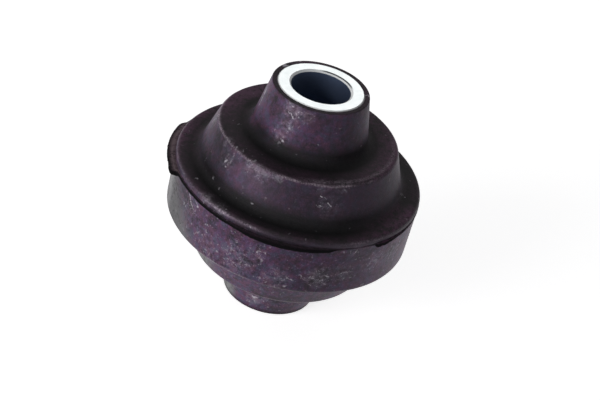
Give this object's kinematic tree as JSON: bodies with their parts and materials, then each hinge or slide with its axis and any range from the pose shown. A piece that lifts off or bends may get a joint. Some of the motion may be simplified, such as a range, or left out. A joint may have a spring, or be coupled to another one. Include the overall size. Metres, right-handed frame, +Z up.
{
  "type": "engine mount bushing",
  "caption": "Stepped rubber mount bushing: a waisted neck at each end, round shoulders and a wide middle drum, moulded round a plain steel sleeve for a through bolt.",
  "frame": {"origin": "on the axis of the bore, half way along the sleeve", "axes": "+Z up along the sleeve and the bolt; the mould parting line is above the middle, and -X is the side with the widest mould flash"},
  "size_m": [0.0623, 0.0612, 0.06],
  "materials": {
    "sleeve_steel": "bright zinc-plated turned steel",
    "body_rubber": "matt black moulded rubber with a faint purple bloom, pale chalk specks and scuffs"
  },
  "bodies": {
    "root": {"centre_sleeve": "sleeve_steel", "rubber_body": "body_rubber"}
  },
  "joints": []
}
